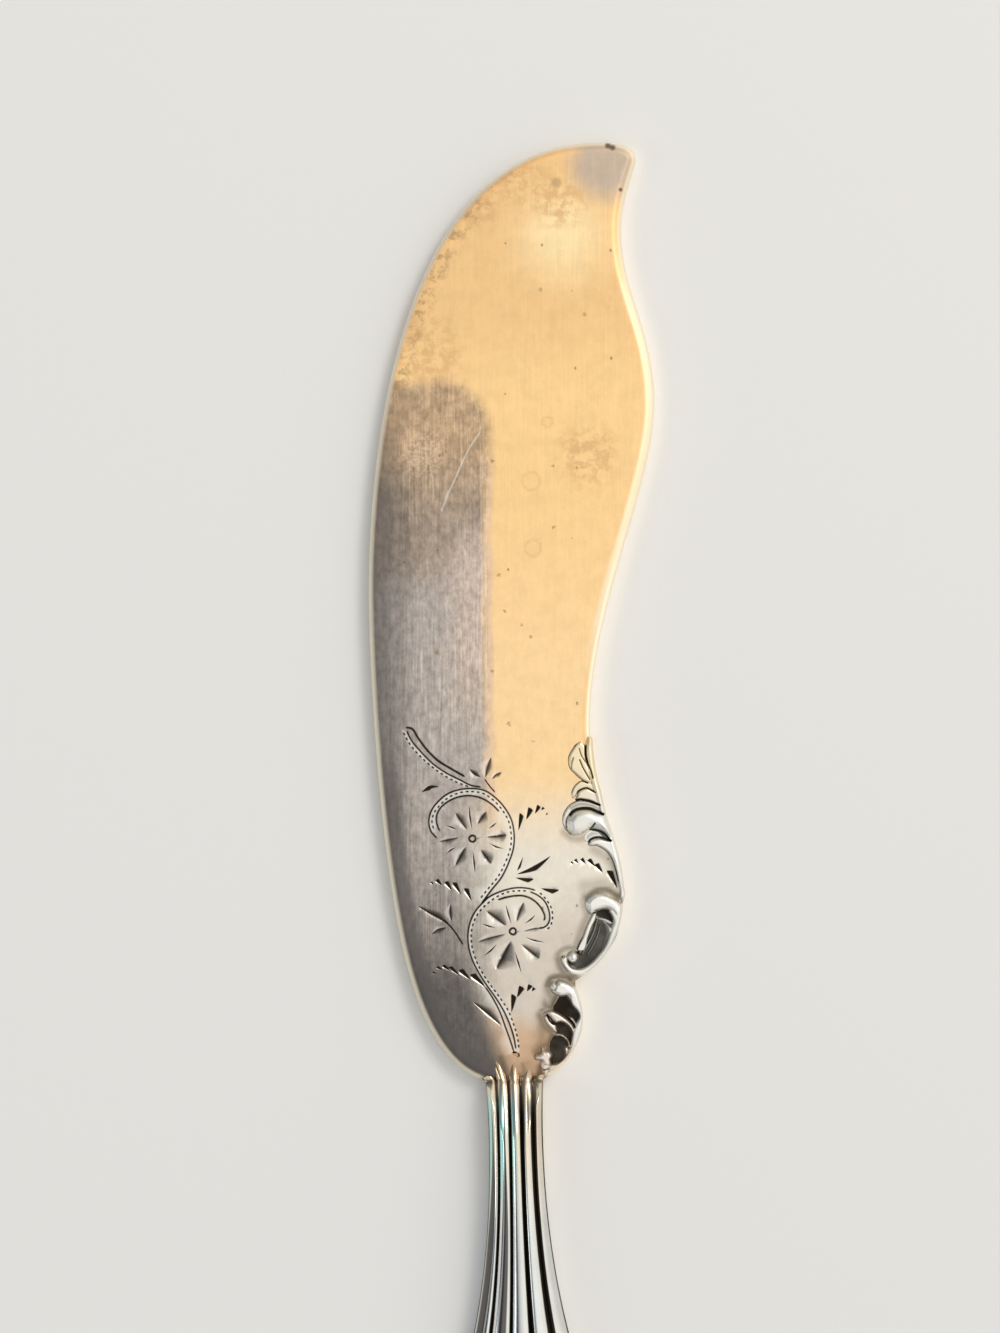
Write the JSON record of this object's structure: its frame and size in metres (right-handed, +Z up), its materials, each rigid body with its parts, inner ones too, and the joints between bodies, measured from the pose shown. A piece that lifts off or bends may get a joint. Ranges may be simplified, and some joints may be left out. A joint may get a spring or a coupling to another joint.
{
  "type": "butter knife",
  "caption": "Master butter knife with a flat curved blade, soldered scrolls along its spine, bright-cut flowers and a hollow reeded handle, for serving and spreading butter.",
  "frame": {"origin": "centre of the knife's outline in plan, on the surface that its back lies on", "axes": "+Y along the handle's axis towards the blade's tip, +X across the blade towards its spine, +Z up out of the decorated face"},
  "size_m": [0.0262, 0.1862, 0.0047],
  "materials": {
    "blade_plate": "worn silver plate with a warm tone and fine brushed scratches",
    "handle_plate": "polished silver plate with dark tarnish in the grooves",
    "cast_mounts": "polished cast silver with dark tarnish in the recesses",
    "handle_cement": "dull hard cement"
  },
  "bodies": {
    "root": {"blade": "blade_plate", "handle_front_shell": "handle_plate", "handle_back_shell": "handle_plate", "handle_filling": "handle_cement", "spine_leaf_mount": "cast_mounts", "c_scroll_mount": "cast_mounts", "heel_scroll_mount": "cast_mounts"}
  },
  "joints": []
}
